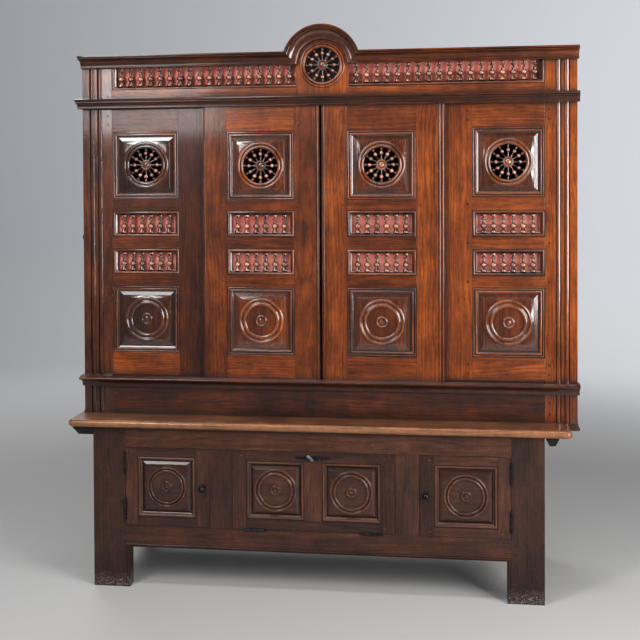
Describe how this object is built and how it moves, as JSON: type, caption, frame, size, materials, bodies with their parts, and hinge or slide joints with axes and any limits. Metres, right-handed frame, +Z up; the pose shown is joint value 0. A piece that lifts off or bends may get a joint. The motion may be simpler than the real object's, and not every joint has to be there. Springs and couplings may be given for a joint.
{
  "type": "cupboard",
  "caption": "Tall panelled oak cupboard with wheel-carved sliding doors over a low locker base with a ledge, hinged locker doors, a fall flap and a round crest.",
  "frame": {"origin": "on the floor, in the middle of the whole width and of the whole depth", "axes": "+Z up, the front faces -Y, +X to the right of someone who faces the front"},
  "size_m": [1.823, 0.547, 2.009],
  "materials": {
    "base_oak": "dark waxed oak, satin",
    "case_oak": "red-brown waxed oak, polished on the mouldings",
    "turned_wood": "turned wood, waxed",
    "plain_oak": "plain oak boards, unwaxed",
    "rose_lining": "faded rose lining behind the spindles",
    "black_iron": "blackened iron, worn",
    "worn_steel": "bright rubbed steel"
  },
  "bodies": {
    "carcass": {"base_back_boards": "plain_oak", "base_bottom_rail": "base_oak", "base_floor": "plain_oak", "base_muntins": "base_oak", "base_partitions": "plain_oak", "base_rear_frame": "plain_oak", "base_side_boards": "plain_oak", "base_top_rail": "base_oak", "bench_board": "base_oak", "case_back_boards": "plain_oak", "case_floor": "plain_oak", "case_lower_rails": "case_oak", "case_posts": "case_oak", "case_roof": "plain_oak", "case_shelf": "plain_oak", "case_side_boards": "plain_oak", "cornice": "case_oak", "crest_arch": "case_oak", "crest_board": "case_oak", "fixed_frames": "case_oak", "fixed_mouldings": "case_oak", "fixed_panels": "case_oak", "fixed_spindles": "turned_wood", "fixed_wheels": "turned_wood", "frieze_rails": "case_oak", "front_legs": "base_oak", "gallery_backings": "rose_lining", "hinge_fixed_leaves": "black_iron", "joint_pegs": "case_oak", "ledge_blocks": "plain_oak", "side_base_mouldings": "case_oak", "side_eye": "black_iron", "sill_moulding": "case_oak", "waist_moulding": "case_oak"},
    "left_sliding_door": {"left_door_backings": "rose_lining", "left_door_frame": "case_oak", "left_door_mouldings": "case_oak", "left_door_panels": "case_oak", "left_door_spindles": "turned_wood", "left_door_wheel": "turned_wood"},
    "right_sliding_door": {"right_door_backings": "rose_lining", "right_door_frame": "case_oak", "right_door_mouldings": "case_oak", "right_door_panels": "case_oak", "right_door_spindles": "turned_wood", "right_door_wheel": "turned_wood"},
    "left_locker_door": {"left_locker_frame": "base_oak", "left_locker_panel": "base_oak", "left_locker_hinge_leaves": "black_iron"},
    "right_locker_door": {"right_locker_frame": "base_oak", "right_locker_panel": "base_oak", "right_locker_hinge_leaves": "black_iron"},
    "left_turn_knob": {"left_locker_knob": "black_iron"},
    "right_turn_knob": {"right_locker_knob": "black_iron"},
    "fall_flap": {"flap_frame": "base_oak", "flap_panels": "base_oak", "flap_hinge_leaves": "black_iron", "flap_lock": "black_iron"},
    "lock_bolt": {"flap_bolt": "worn_steel"},
    "keyhole_lever": {"keyhole_cover": "worn_steel"}
  },
  "joints": [
    {"name": "left_door_slide", "type": "slide", "parent": "carcass", "child": "left_sliding_door", "axis": [-1, 0, 0], "range_m": [0, 0.348]},
    {"name": "right_door_slide", "type": "slide", "parent": "carcass", "child": "right_sliding_door", "axis": [1, 0, 0], "range_m": [0, 0.345]},
    {"name": "left_locker_hinge", "type": "hinge", "parent": "carcass", "child": "left_locker_door", "pos_m": [-0.6935, -0.2485, 0.3625], "axis": [0, 0, -1], "range_deg": [0, 170]},
    {"name": "right_locker_hinge", "type": "hinge", "parent": "carcass", "child": "right_locker_door", "pos_m": [0.6705, -0.2485, 0.3625], "axis": [0, 0, 1], "range_deg": [0, 170]},
    {"name": "left_knob_turn", "type": "hinge", "parent": "left_locker_door", "child": "left_turn_knob", "pos_m": [-0.4095, -0.2465, 0.3625], "axis": [0, -1, 0], "range_deg": [0, 90]},
    {"name": "right_knob_turn", "type": "hinge", "parent": "right_locker_door", "child": "right_turn_knob", "pos_m": [0.3805, -0.2465, 0.3625], "axis": [0, 1, 0], "range_deg": [0, 90]},
    {"name": "flap_hinge", "type": "hinge", "parent": "carcass", "child": "fall_flap", "pos_m": [-0.0145, -0.2485, 0.222], "axis": [1, 0, 0], "range_deg": [0, 130]},
    {"name": "lock_bolt_slide", "type": "slide", "parent": "fall_flap", "child": "lock_bolt", "axis": [0, 0, 1], "range_m": [0, 0.01]},
    {"name": "keyhole_lever_pivot", "type": "hinge", "parent": "fall_flap", "child": "keyhole_lever", "pos_m": [-0.0235, -0.2499, 0.482], "axis": [0, 1, 0], "range_deg": [-42, 48]}
  ]
}
